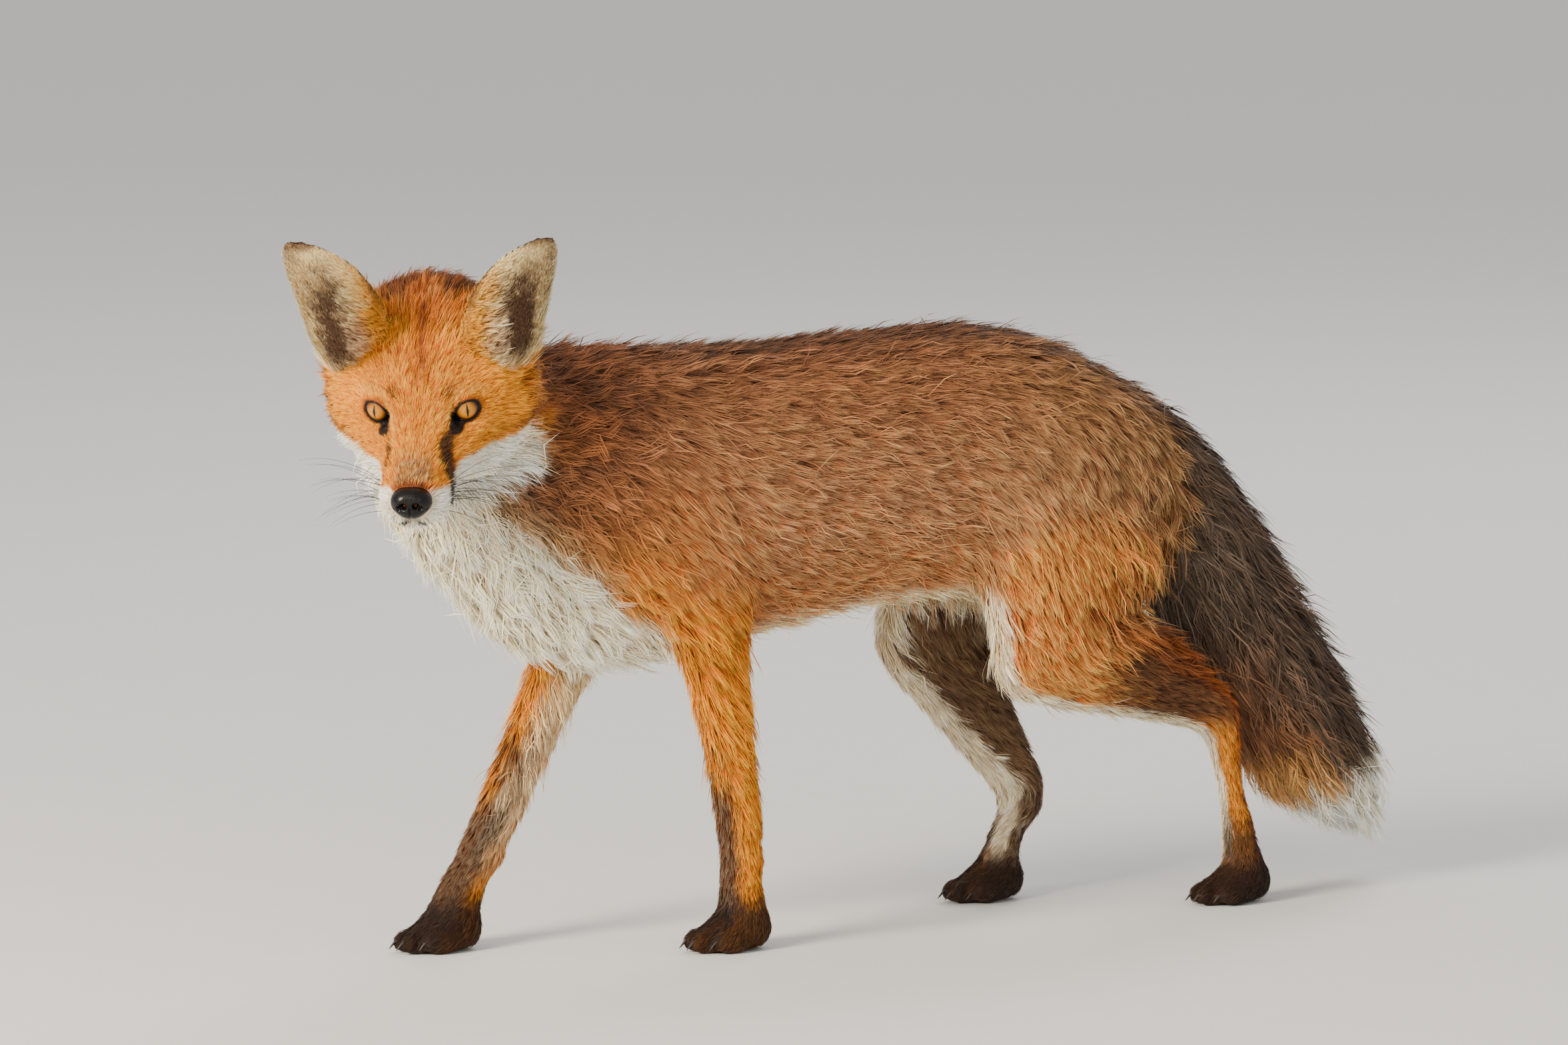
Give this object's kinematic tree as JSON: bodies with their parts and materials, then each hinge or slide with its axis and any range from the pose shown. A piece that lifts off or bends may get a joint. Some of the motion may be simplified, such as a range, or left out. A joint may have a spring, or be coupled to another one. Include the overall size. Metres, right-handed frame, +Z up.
{
  "type": "red fox",
  "caption": "Life-size red fox in a slow walk, head low and turned to its left, bushy tail hanging behind.",
  "frame": {"origin": "on the floor, under the middle of the fox's box", "axes": "+Z up; the fox heads along -Y and its left side is towards +X"},
  "size_m": [0.201, 0.7896, 0.4469],
  "materials": {
    "coat": "deep rufous fur, grizzled on the flank",
    "face": "short rufous and white fur",
    "ears": "short black fur behind, cream hair inside",
    "brush": "long dark-tipped fur",
    "tail_tip": "long white fur",
    "paws": "short black-brown fur",
    "nose": "wet, finely pebbled",
    "eyes": "clear and wet, amber iris",
    "claws": "dark horn"
  },
  "bodies": {
    "root": {"nose": "nose", "eye_left": "eyes", "ear_left": "ears", "eye_right": "eyes", "ear_right": "ears", "head": "face", "fore_left_upper_arm": "coat", "fore_left_forearm": "coat", "fore_left_pastern": "coat", "fore_left_paw": "paws", "fore_left_claw_1": "claws", "fore_left_claw_2": "claws", "fore_left_claw_3": "claws", "fore_left_claw_4": "claws", "fore_right_upper_arm": "coat", "fore_right_forearm": "coat", "fore_right_pastern": "coat", "fore_right_paw": "paws", "fore_right_claw_1": "claws", "fore_right_claw_2": "claws", "fore_right_claw_3": "claws", "fore_right_claw_4": "claws", "hind_left_thigh": "coat", "hind_left_shank": "coat", "hind_left_metatarsus": "coat", "hind_left_paw": "paws", "hind_left_claw_1": "claws", "hind_left_claw_2": "claws", "hind_left_claw_3": "claws", "hind_left_claw_4": "claws", "hind_right_thigh": "coat", "hind_right_shank": "coat", "hind_right_metatarsus": "coat", "hind_right_paw": "paws", "hind_right_claw_1": "claws", "hind_right_claw_2": "claws", "hind_right_claw_3": "claws", "hind_right_claw_4": "claws", "tail": "brush", "tail_tip": "tail_tip", "trunk": "coat", "neck": "coat"}
  },
  "joints": []
}
